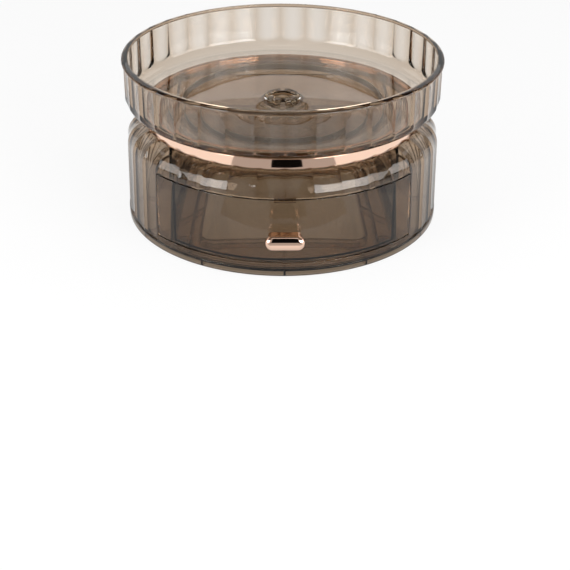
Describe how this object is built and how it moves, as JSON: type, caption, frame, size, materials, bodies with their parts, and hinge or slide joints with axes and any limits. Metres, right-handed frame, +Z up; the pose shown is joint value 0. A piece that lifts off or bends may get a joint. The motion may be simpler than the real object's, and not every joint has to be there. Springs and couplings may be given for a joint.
{
  "type": "rotating makeup organizer with drawer",
  "caption": "Round see-through vanity organizer: a deep fluted tray turns on a fluted drum, with a rose-gold band between them and a curved drawer in the drum.",
  "frame": {"origin": "centre of the footprint, on the surface that the four pads stand on", "axes": "+Z up along the tray's turning axis, the drawer faces -Y and slides out along -Y, +X to the right seen from the front"},
  "size_m": [0.25, 0.2636, 0.13],
  "materials": {
    "smoke_plastic": "polished transparent smoke",
    "rose_gold": "mirror plating on moulded plastic",
    "clear_plastic": "polished, almost colourless",
    "clear_slip": "satin, slippery",
    "clear_rubber": "soft translucent"
  },
  "bodies": {
    "base": {"foot_plate": "smoke_plastic", "foot_pads": "clear_rubber", "drum_shell": "smoke_plastic", "trim_ring": "rose_gold", "glide_ring": "clear_slip", "pivot_clip": "clear_plastic"},
    "drawer": {"drawer_box": "smoke_plastic", "drawer_knob": "rose_gold"},
    "tray": {"tray_bowl": "smoke_plastic"}
  },
  "joints": [
    {"name": "tray_spin", "type": "hinge", "parent": "base", "child": "tray", "pos_m": [0, 0, 0.0904], "axis": [0, 0, 1], "continuous": true},
    {"name": "drawer_slide", "type": "slide", "parent": "base", "child": "drawer", "axis": [0, -1, 0], "range_m": [0, 0.12]}
  ]
}
